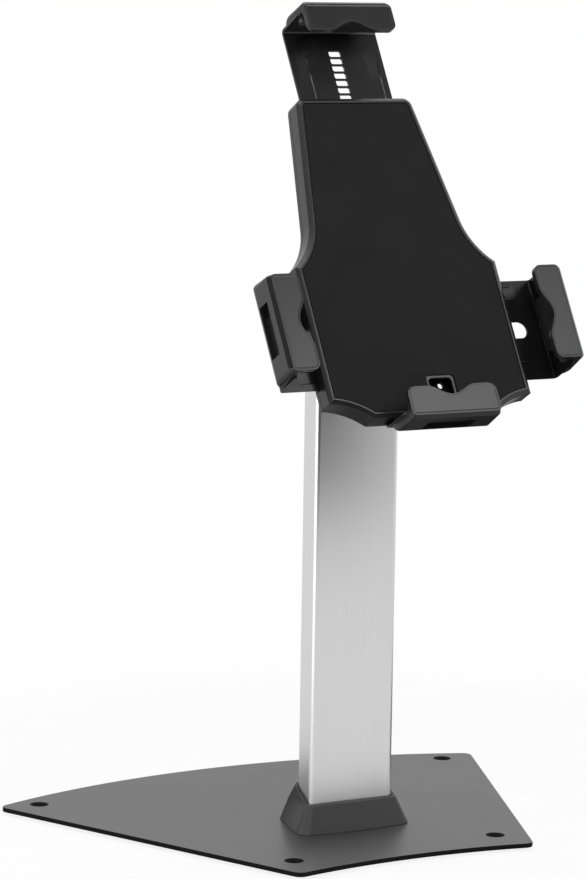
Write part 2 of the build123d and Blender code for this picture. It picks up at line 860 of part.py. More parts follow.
tilt_bracket.part.label = "tilt_bracket"
export_step(tilt_bracket.part, "parts/tilt_bracket.step")

# Swivel bolt, friction disc, nut and the plate inside the head they clamp
mount_plate_front_level = housing_inner_level + mount_plate_thick
swivel_nut_front_level = mount_plate_front_level + swivel_nut_thick
with BuildPart() as swivel_bolt:
    add(head_rod(0, 0, swivel_head_radius, bracket_back_level - swivel_head_thick, bracket_back_level))
    add(head_rod(0, 0, swivel_bolt_radius, bracket_back_level, swivel_nut_front_level))
    with BuildSketch(level_plane(bracket_back_level - swivel_head_thick)):
        RegularPolygon(swivel_socket_radius, 6)
    extrude(amount=swivel_head_thick / 2, mode=Mode.SUBTRACT)
swivel_bolt.part.label = "swivel_bolt"
export_step(swivel_bolt.part, "parts/swivel_bolt.step")

with BuildPart() as swivel_friction_disc:
    with BuildSketch(level_plane(bracket_front_level)):
        Circle(swivel_disc_radius)
        Circle(swivel_bolt_radius + running_gap, mode=Mode.SUBTRACT)
    extrude(amount=swivel_disc_thick)
swivel_friction_disc.part.label = "swivel_friction_disc"
export_step(swivel_friction_disc.part, "parts/swivel_friction_disc.step")

with BuildPart() as swivel_nut:
    with BuildSketch(level_plane(mount_plate_front_level)):
        RegularPolygon(swivel_nut_flats / 2, 6, major_radius=False)
        Circle(swivel_bolt_radius + running_gap, mode=Mode.SUBTRACT)
    extrude(amount=swivel_nut_thick)
swivel_nut.part.label = "swivel_nut"
export_step(swivel_nut.part, "parts/swivel_nut.step")

with BuildPart() as head_mount_plate:
    with BuildSketch(level_plane(housing_inner_level)):
        RectangleRounded(2 * mount_plate_half_x, 2 * mount_plate_half_y, bracket_plate_corner)
        Circle(swivel_bolt_radius + running_gap, mode=Mode.SUBTRACT)
        with GridLocations(2 * mount_screw_x, 2 * mount_screw_y, 2, 2):
            Circle(mount_screw_radius + seat_gap, mode=Mode.SUBTRACT)
    extrude(amount=mount_plate_thick)
head_mount_plate.part.label = "head_mount_plate"
export_step(head_mount_plate.part, "parts/head_mount_plate.step")

with BuildPart() as mount_plate_screws:
    with BuildSketch(level_plane(mount_plate_front_level)):
        with GridLocations(2 * mount_screw_x, 2 * mount_screw_y, 2, 2):
            Circle(mount_screw_head)
    extrude(amount=mount_screw_head_thick)
    with BuildSketch(level_plane(mount_plate_front_level)):
        with GridLocations(2 * mount_screw_x, 2 * mount_screw_y, 2, 2):
            Circle(mount_screw_radius)
    extrude(amount=-mount_plate_thick - mount_screw_reach)
mount_plate_screws.part.label = "mount_plate_screws"
export_step(mount_plate_screws.part, "parts/mount_plate_screws.step")

# Points of the cover screws: three bosses and one guide post on each side
cover_points = []
for side in (-1, 1):
    for boss_x, boss_y in boss_points:
        cover_points.append((side * boss_x, boss_y))
post_points = [(post_x, side_arm_y), (-post_x, side_arm_y)]
screw_points = cover_points + post_points

window_wide = window_right - window_left
window_tall = window_top_y - window_bottom_y
window_centre = ((window_left + window_right) / 2, (window_top_y + window_bottom_y) / 2)

# Front cover: bevelled rim, sunk floor for the pad, and rails and bosses behind the floor
with BuildPart() as front_cover:
    extrude(outline_face(parting_level, side_grow), amount=-bevel_deep - parting_level)
    loft([outline_face(-bevel_deep, side_grow), outline_face(0, rim_half)], ruled=True)
    extrude(outline_face(-pad_recess, -rim_half), amount=pad_recess, mode=Mode.SUBTRACT)
    extrude(
        outline_face(parting_level, side_grow - cover_wall),
        amount=cover_floor_level - parting_level,
        mode=Mode.SUBTRACT,
    )
    arm_room = arm_half + slide_gap
    add(
        head_block(
            -side_reach,
            side_reach,
            side_arm_y - arm_room,
            side_arm_y + arm_room,
            parting_level,
            arm_front_level + slide_gap,
        ),
        mode=Mode.SUBTRACT,
    )
    add(
        head_block(
            -arm_room, arm_room, bracket_upper_y, top_reach, parting_level, arm_front_level + slide_gap
        ),
        mode=Mode.SUBTRACT,
    )
    add(
        head_block(
            bottom_claw_x - arm_room,
            bottom_claw_x + arm_room,
            -bottom_reach,
            bracket_upper_y,
            parting_level,
            arm_front_level + slide_gap,
        ),
        mode=Mode.SUBTRACT,
    )
    for x, y in cover_points:
        add(head_rod(x, y, boss_radius, rear_inner_level + running_gap, cover_floor_level))
    for x, y in post_points:
        add(head_rod(x, y, post_radius, rear_inner_level + running_gap, cover_floor_level))
    for side in (-1, 1):
        rail_x = side * top_rail_x
        add(
            head_block(
                rail_x - rail_width / 2,
                rail_x + rail_width / 2,
                top_arm_tail_y,
                rim_top_y,
                arm_front_level + rail_gap,
                cover_floor_level,
            )
        )
        for end in (-1, 1):
            rail_y = side_arm_y + end * side_rail_y
            rail_middle = side * (side_rail_inner + side_rail_outer) / 2
            rail_long = (side_rail_outer - side_rail_inner) / 2
            add(
                head_block(
                    rail_middle - rail_long,
                    rail_middle + rail_long,
                    rail_y - rail_width / 2,
                    rail_y + rail_width / 2,
                    arm_front_level + rail_gap,
                    cover_floor_level,
                )
            )
        add(
            head_rod(
                side * bracket_screw_x, bracket_screw_y, boss_radius, arm_front_level, cover_floor_level
            )
        )
    add(
        head_rod(0, side_arm_y, axle_boss_radius, pinion_front_level + axial_gap, cover_floor_level)
    )
    with BuildSketch(level_plane(-pad_recess)):
        with Locations(window_centre):
            RectangleRounded(window_wide - 2 * window_ledge, window_tall - 2 * window_ledge, window_corner)
    extrude(amount=cover_floor_level + pad_recess, mode=Mode.SUBTRACT)
    for x, y in screw_points:
        add(
            head_rod(x, y, cover_screw_radius + running_gap, rear_inner_level, cover_floor_level),
            mode=Mode.SUBTRACT,
        )
    for side in (-1, 1):
        add(
            head_rod(
                side * bracket_screw_x,
                bracket_screw_y,
                cover_screw_radius + running_gap,
                arm_front_level,
                cover_floor_level,
            ),
            mode=Mode.SUBTRACT,
        )
    add(
        head_rod(0, side_arm_y, axle_radius + running_gap, pinion_front_level, cover_floor_level),
        mode=Mode.SUBTRACT,
    )
front_cover.part.label = "front_cover"
export_step(front_cover.part, "parts/front_cover.step")

# Soft pad inside the rim, with a window over a smaller one in the cover's floor
with BuildPart() as front_pad:
    extrude(outline_face(-pad_recess, -rim_half - pad_gap), amount=pad_thick)
    with BuildSketch(level_plane(-pad_recess)):
        with Locations(window_centre):
            RectangleRounded(window_wide, window_tall, window_corner)
    extrude(amount=pad_thick, mode=Mode.SUBTRACT)
front_pad.part.label = "front_pad"
export_step(front_pad.part, "parts/front_pad.step")

# Rear cover: shallow tray with a deeper housing for the swivel and the lock
housing_middle_y = (housing_top_y + housing_bottom_y) / 2
housing_long = housing_top_y - housing_bottom_y
groove_room_level = arm_back_level - groove_deep - slide_gap
with BuildPart() as rear_cover:
    extrude(outline_face(rear_level, side_grow), amount=parting_level - rear_level)
    extrude(
        outline_face(rear_inner_level, side_grow - cover_wall),
        amount=parting_level - rear_inner_level,
        mode=Mode.SUBTRACT,
    )
    with BuildSketch(level_plane(housing_level)):
        with Locations((0, housing_middle_y)):
            RectangleRounded(2 * housing_half, housing_long, housing_corner)
    extrude(amount=rear_inner_level - housing_level)
    fillet(rear_cover.faces().sort_by(Axis(head_origin, head_normal))[0].edges(), housing_edge)
    with BuildSketch(level_plane(housing_inner_level)):
        with Locations((0, housing_middle_y)):
            RectangleRounded(
                2 * housing_half - 2 * housing_wall,
                housing_long - 2 * housing_wall,
                housing_corner - housing_wall,
            )
    extrude(amount=rear_inner_level - housing_inner_level, mode=Mode.SUBTRACT)
    for left, right, low, high in (
        (-side_reach, side_reach, side_arm_y - arm_room, side_arm_y + arm_room),
        (-arm_room, arm_room, rim_top_y - cover_wall, top_reach),
        (bottom_claw_x - arm_room, bottom_claw_x + arm_room, -bottom_reach, bracket_screw_y),
    ):
        add(head_block(left, right, low, high, groove_room_level, parting_level), mode=Mode.SUBTRACT)
    for side in (-1, 1):
        rail_x = side * top_rail_x
        add(
            head_block(
                rail_x - rail_width / 2,
                rail_x + rail_width / 2,
                housing_top_y,
                rim_top_y,
                rear_inner_level,
                arm_back_level - rail_gap,
            )
        )
        for end in (-1, 1):
            rail_y = side_arm_y + end * side_rail_y
            rail_middle = side * (side_rail_inner + side_rail_outer) / 2
            rail_long = (side_rail_outer - side_rail_inner) / 2
            add(
                head_block(
                    rail_middle - rail_long,
                    rail_middle + rail_long,
                    rail_y - rail_width / 2,
                    rail_y + rail_width / 2,
                    rear_inner_level,
                    arm_back_level - rail_gap,
                )
            )
        add(
            head_rod(
                side * bracket_screw_x, bracket_screw_y, boss_radius, rear_inner_level, arm_back_level
            )
        )
    bracket_points = [(bracket_screw_x, bracket_screw_y), (-bracket_screw_x, bracket_screw_y)]
    for x, y in screw_points + bracket_points:
        add(
            head_rod(x, y, cover_screw_radius + running_gap, rear_level, arm_back_level),
            mode=Mode.SUBTRACT,
        )
        add(
            head_rod(x, y, cover_screw_head + seat_gap, rear_level, rear_level + cover_screw_head_deep),
            mode=Mode.SUBTRACT,
        )
    add(
        head_rod(0, 0, swivel_bolt_radius + running_gap, housing_level, housing_inner_level),
        mode=Mode.SUBTRACT,
    )
    for x in (-mount_screw_x, mount_screw_x):
        for y in (-mount_screw_y, mount_screw_y):
            add(
                head_rod(
                    x,
                    y,
                    mount_screw_radius + running_gap,
                    housing_inner_level - mount_screw_reach,
                    housing_inner_level,
                ),
                mode=Mode.SUBTRACT,
            )
    add(
        head_rod(0, lock_y, barrel_radius + seat_gap, housing_level, housing_inner_level),
        mode=Mode.SUBTRACT,
    )
    add(
        head_rod(sight_hole_x, sight_hole_y, sight_hole_radius, rear_level, rear_inner_level),
        mode=Mode.SUBTRACT,
    )
rear_cover.part.label = "rear_cover"
export_step(rear_cover.part, "parts/rear_cover.step")

# Cover screws: from the rear cover into the bosses and posts of the front cover
with BuildPart() as cover_screws:
    for x, y in screw_points:
        add(head_rod(x, y, cover_screw_head, rear_level, rear_level + cover_screw_head_deep))
        add(head_rod(x, y, cover_screw_radius, rear_level, cover_floor_level - slide_gap))
cover_screws.part.label = "cover_screws"
export_step(cover_screws.part, "parts/cover_screws.step")

# Top arm with its ladder of slots
with BuildPart() as top_arm:
    add(
        press_grooves(
            turned_strip(top_arm_reach, top_reach - top_arm_tail_y),
            top_arm_reach,
            top_reach - top_groove_end,
            top_reach - top_arm_tail_y - groove_fade,
        )
    )
    with BuildSketch(level_plane(arm_back_level)):
        for number in range(slot_count):
            with Locations((0, slot_first_y - number * slot_pitch)):
                RectangleRounded(slot_width, slot_tall, slot_corner)
    extrude(amount=sheet_thick, mode=Mode.SUBTRACT)
top_arm.part.label = "top_arm"
export_step(top_arm.part, "parts/top_arm.step")

# Side arms: the same strip turned half round the pinion axis
right_arm = side_arm(right_reach)
right_arm.label = "right_arm"
export_step(right_arm, "parts/right_arm.step")

left_arm = side_arm(left_reach)
left_arm.label = "left_arm"
export_step(left_arm, "parts/left_arm.step")

# Bottom bracket: a short turned-up strip held by two screws
with BuildPart() as bottom_bracket:
    add(turned_strip(bottom_arm_reach, bottom_reach + bracket_upper_y))
    for side in (-1, 1):
        add(
            head_rod(
                side * bracket_screw_x,
                bracket_screw_y,
                cover_screw_radius + seat_gap,
                arm_back_level,
                arm_front_level,
            ),
            mode=Mode.SUBTRACT,
        )
bottom_bracket.part.label = "bottom_bracket"
export_step(bottom_bracket.part, "parts/bottom_bracket.step")

with BuildPart() as bottom_bracket_screws:
    for side in (-1, 1):
        screw_x = side * bracket_screw_x
        add(
            head_rod(
                screw_x, bracket_screw_y, cover_screw_head, rear_level, rear_level + cover_screw_head_deep
            )
        )
        add(
            head_rod(
                screw_x, bracket_screw_y, cover_screw_radius, rear_level, cover_floor_level - slide_gap
            )
        )
bottom_bracket_screws.part.label = "bottom_bracket_screws"
export_step(bottom_bracket_screws.part, "parts/bottom_bracket_screws.step")

# Four claws with their pads and screws
for name, reach, pad_low in (
    ("top", top_arm_reach, claw_pad_low),
    ("left", left_reach, claw_pad_low),
    ("right", right_reach, claw_pad_low),
    ("bottom", bottom_arm_reach, bottom_pad_low),
):
    hook = claw(reach)
    hook.label = name + "_claw"
    export_step(hook, "parts/" + name + "_claw.step")
    pad = claw_pad(reach, pad_low)
    pad.label = name + "_claw_pad"
    export_step(pad, "parts/" + name + "_claw_pad.step")
    screws = claw_screws(reach)
    screws.label = name + "_claw_screws"
    export_step(screws, "parts/" + name + "_claw_screws.step")


def gear_points():
    # Involute flanks with short addendum, tooth gaps at the top and at the sides
    base_radius = gear_pitch_radius * math.cos(pressure_angle)
    tip_radius = gear_pitch_radius + gear_tip
    root_radius = gear_pitch_radius - gear_root
    half_at_pitch = (tooth_pitch - gear_backlash) / 4 / gear_pitch_radius
    flank_steps = 5
    flank = [(root_radius, half_at_pitch + math.tan(pressure_angle) - pressure_angle)]
    for step in range(flank_steps + 1):
        radius = base_radius + (tip_radius - base_radius) * step / flank_steps
        roll = math.acos(base_radius / radius)
        half = half_at_pitch + math.tan(pressure_angle) - pressure_angle - (math.tan(roll) - roll)
        flank.append((radius, half))
    points = []
    for number in range(gear_teeth):
        middle = math.tau * (number + 0.5) / gear_teeth
        for radius, half in flank:
            points.append((radius * math.cos(middle - half), radius * math.sin(middle - half)))
        for radius, half in reversed(flank):
            points.append((radius * math.cos(middle + half), radius * math.sin(middle + half)))
    return points


# Pinion between the two racks, on a shouldered axle
pinion_centre = head.from_local_coords(Vector(0, side_arm_y, pinion_back_level))
with BuildPart() as pinion:
    with BuildSketch(Plane(origin=pinion_centre, x_dir=(1, 0, 0), z_dir=head_normal)):
        with BuildLine():
            Polyline(*gear_points(), close=True)
        make_face()
        Circle(axle_radius + running_gap, mode=Mode.SUBTRACT)
    extrude(amount=gear_thick)
pinion.part.label = "pinion"
export_step(pinion.part, "parts/pinion.step")

axle_head_level = pinion_back_level - axial_gap
with BuildPart() as pinion_axle:
    add(head_rod(0, side_arm_y, axle_radius, axle_head_level, cover_floor_level))
    add(head_rod(0, side_arm_y, axle_head_radius, axle_head_level - axle_head_thick, axle_head_level))
pinion_axle.part.label = "pinion_axle"
export_step(pinion_axle.part, "parts/pinion_axle.step")

# Lock barrel with its ring nut, the plunger, the key plug and the bar with two pins
barrel_outer_level = housing_level - barrel_flange_thick
with BuildPart() as lock_barrel:
    add(head_rod(0, lock_y, barrel_flange_radius, barrel_outer_level, housing_level))
    add(head_rod(0, lock_y, barrel_radius, housing_level, barrel_inner_level))
    add(
        head_rod(0, lock_y, plunger_radius + running_gap, barrel_outer_level, barrel_inner_level),
        mode=Mode.SUBTRACT,
    )
lock_barrel.part.label = "lock_barrel"
export_step(lock_barrel.part, "parts/lock_barrel.step")

with BuildPart() as lock_ring_nut:
    with BuildSketch(level_plane(housing_inner_level)):
        with Locations((0, lock_y)):
            Circle(barrel_nut_radius)
            Circle(barrel_radius + running_gap, mode=Mode.SUBTRACT)
    extrude(amount=barrel_nut_thick)
lock_ring_nut.part.label = "lock_ring_nut"
export_step(lock_ring_nut.part, "parts/lock_ring_nut.step")

plunger_outer_level = barrel_outer_level - plunger_out
with BuildPart() as lock_plunger:
    add(head_rod(0, lock_y, plunger_radius, plunger_outer_level, lock_bar_back_level))
    add(
        head_rod(
            0, lock_y, plug_radius + running_gap, plunger_outer_level, plunger_outer_level + plug_deep
        ),
        mode=Mode.SUBTRACT,
    )
lock_plunger.part.label = "lock_plunger"
export_step(lock_plunger.part, "parts/lock_plunger.step")

with BuildPart() as lock_plug:
    add(head_rod(0, lock_y, plug_radius, plunger_outer_level, plunger_outer_level + plug_deep))
    add(
        head_block(
            -keyway_half,
            keyway_half,
            lock_y - keyway_long,
            lock_y + keyway_long,
            plunger_outer_level,
            plunger_outer_level + keyway_deep,
        ),
        mode=Mode.SUBTRACT,
    )
lock_plug.part.label = "lock_plug"
export_step(lock_plug.part, "parts/lock_plug.step")

lock_bar_front_level = lock_bar_back_level + lock_bar_thick
with BuildPart() as lock_bar:
    add(
        head_block(
            -lock_bar_half,
            lock_bar_half,
            lock_bar_end_y,
            lock_bar_top_y,
            lock_bar_back_level,
            lock_bar_front_level,
        )
    )
    add(
        head_block(
            -lock_bar_half,
            lock_foot_outer,
            lock_bar_end_y,
            lock_bar_end_y + lock_bar_half,
            lock_bar_back_level,
            lock_bar_front_level,
        )
    )
    add(
        head_block(
            lock_foot_inner,
            lock_foot_outer,
            side_arm_y - lock_foot_half,
            lock_bar_end_y + lock_bar_half,
            lock_bar_back_level,
            lock_bar_front_level,
        )
    )
    add(
        head_rod(
            0, lock_pin_y, lock_pin_radius, lock_bar_front_level, arm_back_level - lock_pin_rest_gap
        )
    )
    add(
        head_rod(
            gear_pitch_radius,
            side_arm_y,
            gear_pin_radius,
            lock_bar_front_level,
            pinion_back_level - gear_pin_rest_gap,
        )
    )
lock_bar.part.label = "lock_bar"
export_step(lock_bar.part, "parts/lock_bar.step")
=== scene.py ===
import bpy, bmesh, json, math
from mathutils import Matrix, Vector


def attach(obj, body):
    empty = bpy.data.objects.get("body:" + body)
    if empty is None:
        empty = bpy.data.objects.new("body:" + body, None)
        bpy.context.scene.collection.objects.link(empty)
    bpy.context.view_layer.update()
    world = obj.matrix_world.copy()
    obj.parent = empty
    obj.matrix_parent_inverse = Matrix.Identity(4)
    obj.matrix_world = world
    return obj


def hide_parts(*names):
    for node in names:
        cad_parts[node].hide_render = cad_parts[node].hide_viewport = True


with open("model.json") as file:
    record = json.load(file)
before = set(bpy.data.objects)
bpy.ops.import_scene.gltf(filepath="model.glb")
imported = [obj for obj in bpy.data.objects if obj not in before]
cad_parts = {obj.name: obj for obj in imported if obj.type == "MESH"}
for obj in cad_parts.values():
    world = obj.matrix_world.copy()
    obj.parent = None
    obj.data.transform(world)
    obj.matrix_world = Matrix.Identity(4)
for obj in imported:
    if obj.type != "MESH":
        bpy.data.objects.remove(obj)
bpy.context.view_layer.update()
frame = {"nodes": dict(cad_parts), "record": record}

scene = bpy.context.scene
nodes = frame["nodes"]
record = frame["record"]
slotOf = {part["node"]: part["material_slot"] for part in record["subparts"]}
bodyOf = {name: body for body, members in record["behaviour"]["bodies"].items() for name in members}
jointOf = {joint["name"]: joint for joint in record["behaviour"]["joints"]}
mm = 0.001
print("frame loaded:", len(nodes), "nodes")


def hexColor(code):
    # sRGB hex to linear RGBA, by the standard sRGB curve
    values = [int(code[i:i + 2], 16) / 255 for i in (1, 3, 5)]
    return [v / 12.92 if v <= 0.04045 else ((v + 0.055) / 1.055) ** 2.4 for v in values] + [1.0]


def addNode(tree, kind, settings=None, links=None):
    # settings: property or input name -> value, links: input name -> output socket
    node = tree.nodes.new(kind)
    for key, value in (settings or {}).items():
        if isinstance(key, str) and hasattr(node, key):
            setattr(node, key, value)
        else:
            node.inputs[key].default_value = value
    for key, socket in (links or {}).items():
        tree.links.new(socket, node.inputs[key])
    return node


def newMaterial(name):
    material = bpy.data.materials.new(name)
    material.use_nodes = True
    tree = material.node_tree
    tree.nodes.clear()
    shader = addNode(tree, "ShaderNodeBsdfPrincipled")
    addNode(tree, "ShaderNodeOutputMaterial", links={"Surface": shader.outputs["BSDF"]})
    coords = addNode(tree, "ShaderNodeTexCoord").outputs["Object"]
    return material, tree, shader, coords


def grainNoise(tree, coords, grainMm, detail=3.0):
    # noise with grains about grainMm millimetres across
    settings = {"Scale": 1000 / grainMm, "Detail": detail}
    return addNode(tree, "ShaderNodeTexNoise", settings, {"Vector": coords}).outputs["Fac"]


def ramp(tree, socket, low, high, spread=0.15):
    # the low colour below the middle of the noise, the high one above it
    node = addNode(tree, "ShaderNodeValToRGB", links={"Fac": socket})
    for element, place, color in zip(node.color_ramp.elements, (0.5 - spread, 0.5 + spread), (low, high)):
        element.position = place
        element.color = hexColor(color)
    return node.outputs["Color"]


def remap(tree, socket, middle, spread):
    # noise from 0 to 1 becomes the middle value, give or take the spread
    limits = {"To Min": middle - spread, "To Max": middle + spread}
    return addNode(tree, "ShaderNodeMapRange", limits, {"Value": socket}).outputs["Result"]


def addBump(tree, shader, height, deepMm, strength):
    settings = {"Strength": strength, "Distance": deepMm * mm}
    node = addNode(tree, "ShaderNodeBump", settings, {"Height": height})
    tree.links.new(node.outputs["Normal"], shader.inputs["Normal"])


# heights of the face's normal: below the first, faces take the full painted shade colour; above the second, none
coatDetail = {"fullShadeBelow": 0.25, "noShadeAbove": 0.8, "unevenGloss": 0.04, "peelStrength": 0.15}


def powderCoat(name, look):
    # baked powder coat: orange peel in the gloss, slow clouding in the grey; faces that turn away from up take the
    # darker side colour, painted shade, while the faces that look up keep the coat's grey
    material, tree, shader, coords = newMaterial(name)
    cloud = grainNoise(tree, coords, look["cloudMm"], detail=4)
    peel = grainNoise(tree, coords, look["peelMm"], detail=3)
    top = ramp(tree, cloud, look["dark"], look["light"])
    # the side colour is painted shade on faces that turn away from up
    side = ramp(tree, peel, look["shadeSideDark"], look["shadeSideLight"])
    normal = addNode(tree, "ShaderNodeNewGeometry").outputs["Normal"]
    height = addNode(tree, "ShaderNodeSeparateXYZ", links={"Vector": normal}).outputs["Z"]
    limits = {"From Min": coatDetail["fullShadeBelow"], "From Max": coatDetail["noShadeAbove"]}
    unshadedPart = addNode(tree, "ShaderNodeMapRange", limits, {"Value": height}).outputs["Result"]
    color = addNode(tree, "ShaderNodeMix", {"data_type": "RGBA"}, {0: unshadedPart, 6: side, 7: top})  # factor, A and B
    tree.links.new(color.outputs[2], shader.inputs["Base Color"])
    gloss = remap(tree, cloud, look["roughness"], coatDetail["unevenGloss"])
    tree.links.new(gloss, shader.inputs["Roughness"])
    shader.inputs["Specular IOR Level"].default_value = look["shine"]
    addBump(tree, shader, peel, look["peelDeepMm"], coatDetail["peelStrength"])
    return material


extrusionDetail = {"stretch": (1, 1, 0.004), "lineSpread": 0.2, "unevenGloss": 0.04, "lineStrength": 0.08}


def anodisedAluminium(name, look):
    # satin anodised extrusion: die lines run up the profile, a fine etched grain lies over them
    material, tree, shader, coords = newMaterial(name)
    mapping = addNode(tree, "ShaderNodeMapping", {"Scale": extrusionDetail["stretch"]}, {"Vector": coords})
    lines = grainNoise(tree, mapping.outputs["Vector"], look["lineMm"], detail=2)
    grain = grainNoise(tree, coords, look["grainMm"], detail=2)
    color = ramp(tree, lines, look["dark"], look["light"], extrusionDetail["lineSpread"])
    tree.links.new(color, shader.inputs["Base Color"])
    shader.inputs["Metallic"].default_value = 1.0
    gloss = remap(tree, grain, look["roughness"], extrusionDetail["unevenGloss"])
    tree.links.new(gloss, shader.inputs["Roughness"])
    addBump(tree, shader, lines, look["lineDeepMm"], extrusionDetail["lineStrength"])
    return material


mouldDetail = {"unevenGloss": 0.05, "grainStrength": 0.25}


def mouldedPlastic(name, look):
    # injection moulded: spark-eroded grain, gloss a little uneven over the face
    material, tree, shader, coords = newMaterial(name)
    grain = grainNoise(tree, coords, look["grainMm"], detail=4)
    cloud = grainNoise(tree, coords, look["cloudMm"], detail=3)
    tree.links.new(ramp(tree, cloud, look["dark"], look["light"]), shader.inputs["Base Color"])
    gloss = remap(tree, grain, look["roughness"], mouldDetail["unevenGloss"])
    tree.links.new(gloss, shader.inputs["Roughness"])
    shader.inputs["Specular IOR Level"].default_value = look["shine"]
    addBump(tree, shader, grain, look["grainDeepMm"], mouldDetail["grainStrength"])
    return material


platingDetail = {"unevenGloss": 0.05}


def platedMetal(name, look):
    # bright plating with light handling scuffs
    material, tree, shader, coords = newMaterial(name)
    scuff = grainNoise(tree, coords, look["scuffMm"], detail=5)
    tree.links.new(ramp(tree, scuff, look["dark"], look["light"]), shader.inputs["Base Color"])
    shader.inputs["Metallic"].default_value = 1.0
    gloss = remap(tree, scuff, look["roughness"], platingDetail["unevenGloss"])
    tree.links.new(gloss, shader.inputs["Roughness"])
    return material


# grains, orange peel and die lines are drawn a few times coarser than the real ones, which wouldn't show here
# grey coat with a broad soft gloss; the sheet's edges get a near black painted shade
baseLook = {"dark": "#3a3a3a", "light": "#404040", "shadeSideDark": "#0c0c0c", "shadeSideLight": "#101010",
            "roughness": 0.38, "shine": 0.42, "peelMm": 0.7, "peelDeepMm": 0.06, "cloudMm": 70}
# pale satin metal, lines just visible
columnLook = {"dark": "#d0d0d0", "light": "#d5d5d5", "roughness": 0.3, "lineMm": 0.4, "lineDeepMm": 0.01,
              "grainMm": 0.3}
# half matt, a shade paler than the head
collarLook = {"dark": "#262626", "light": "#2b2b2b", "roughness": 0.5, "shine": 0.45, "grainMm": 0.5,
              "grainDeepMm": 0.05, "cloudMm": 30}
# fine grain with a soft sheen along the bevels
headLook = {"dark": "#191919", "light": "#1d1d1d", "roughness": 0.34, "shine": 0.42, "grainMm": 0.4,
            "grainDeepMm": 0.03, "cloudMm": 40}
# as the head, a little coarser and less shiny
clawLook = {"dark": "#191919", "light": "#1e1e1e", "roughness": 0.32, "shine": 0.38, "grainMm": 0.45,
            "grainDeepMm": 0.04, "cloudMm": 25}
# dead matt sheet, its dark grey hardly changes with the light
padLook = {"dark": "#1d1d1d", "light": "#202020", "roughness": 0.85, "shine": 0.12, "grainMm": 0.6,
           "grainDeepMm": 0.09, "cloudMm": 30}
# soft grips and feet, matt with a faint bloom
gripLook = {"dark": "#151515", "light": "#191919", "roughness": 0.75, "shine": 0.3, "grainMm": 0.6,
            "grainDeepMm": 0.08, "cloudMm": 15}
# thin black coat, smoother than the plate's, the same on faces and edges
armLook = {"dark": "#131313", "light": "#171717", "shadeSideDark": "#131313", "shadeSideLight": "#171717",
           "roughness": 0.28, "shine": 0.5, "peelMm": 0.6, "peelDeepMm": 0.04, "cloudMm": 40}
# the side arms shine less than the top one
sideArmLook = {**armLook, "roughness": 0.24, "shine": 0.2}
zincLook = {"dark": "#b4b6b9", "light": "#c4c6c8", "roughness": 0.3, "scuffMm": 1.6}
chromeLook = {"dark": "#d4d6d8", "light": "#dcdee0", "roughness": 0.1, "scuffMm": 2.2}
nylonLook = {"dark": "#8a8c8e", "light": "#949698", "roughness": 0.5, "shine": 0.5, "grainMm": 0.6,
             "grainDeepMm": 0.04, "cloudMm": 20}
# near black and matt: painted shade on the plate's cut sides and hole walls, so that the plate's edge reads as a
# dark line
plateShadeLook = {"dark": "#090909", "light": "#0d0d0d", "roughness": 0.6, "shine": 0.08, "grainMm": 0.5,
           "grainDeepMm": 0.05, "cloudMm": 20}

finishes = {
    "dark_powder_coat": powderCoat("dark_powder_coated_steel", baseLook),
    "anodised_aluminium": anodisedAluminium("satin_anodised_aluminium", columnLook),
    "dark_plastic": mouldedPlastic("dark_moulded_abs", headLook),
    "black_rubber": mouldedPlastic("soft_black_rubber", gripLook),
    "black_steel": powderCoat("black_coated_steel", armLook),
    "zinc_steel": platedMetal("zinc_plated_steel", zincLook),
    "bright_chrome": platedMetal("chrome_plated_brass", chromeLook),
    "grey_nylon": mouldedPlastic("natural_nylon", nylonLook),
}
# pieces that look unlike the rest of their slot
ownFinish = {
    "base_collar": mouldedPlastic("collar_moulded_abs", collarLook),
    "front_pad": mouldedPlastic("matt_pad_rubber", padLook),
}
sideArmCoat = powderCoat("side_arm_coated_steel", sideArmLook)
for side in ("left", "right"):
    ownFinish[side + "_arm"] = sideArmCoat
clawPlastic = mouldedPlastic("claw_moulded_abs", clawLook)
for side in ("top", "left", "right", "bottom"):
    ownFinish[side + "_claw"] = clawPlastic
plateSideShade = mouldedPlastic("plate_sides_painted_shade", plateShadeLook)


def dress(obj, material):
    obj.data.materials.clear()
    obj.data.materials.append(material)


def makeObject(name, bm, material):
    mesh = bpy.data.meshes.new(name)
    bm.to_mesh(mesh)
    bm.free()
    obj = bpy.data.objects.new(name, mesh)
    scene.collection.objects.link(obj)
    dress(obj, material)
    return obj


for nodeName, obj in nodes.items():
    dress(obj, ownFinish.get(nodeName, finishes[slotOf[nodeName]]))
print("materials:", len(finishes) + len(set(ownFinish.values())) + 1)  # the last is the painted shade on the plate's cut sides

# the head leans back: straight out of its face, up along it, and the face's middle, in front of the tilt bolt
boltToFaceMm = 56
faceOut = Vector(jointOf["head_swivel"]["axis"]).normalized()
faceUp = Vector((1, 0, 0)).cross(faceOut) * -1
faceCentre = Vector(jointOf["head_tilt"]["pos_m"]) + faceOut * boltToFaceMm * mm
faceToArm = {"top": faceUp, "left": Vector((-1, 0, 0)), "right": Vector((1, 0, 0)), "bottom": -faceUp}
faceToArm.update({side + kind: way for side, way in list(faceToArm.items()) for kind in ("_arm", "_claw")})


def sliceMesh(bm, place, way, snapMm):
    bmesh.ops.bisect_plane(bm, geom=bm.verts[:] + bm.edges[:] + bm.faces[:], plane_co=place, plane_no=way,
                           dist=snapMm * mm)


# the pressed grooves run out into the flat sheet. grooveRun holds fade start, tip and tip stretch along each arm,
# in mm from the middle of the face. bandMm is where the grooves lie across it, skinMm keeps the sheet's faces still
grooveRun = {"top_arm": (110, 128, 16), "left_arm": (68, 85, 0), "right_arm": (68, 85, 0)}
grooveLook = {"stations": 8, "leftDeep": 0.05, "sheetMm": 1.5, "flatAbove": 0.999, "bandMm": (19, 31),
              "beforeTipMm": 5, "pastTipMm": 3, "fadePastMm": 8, "nearSheetMm": 1.7, "skinMm": 0.1,
              "snapMm": 0.02}


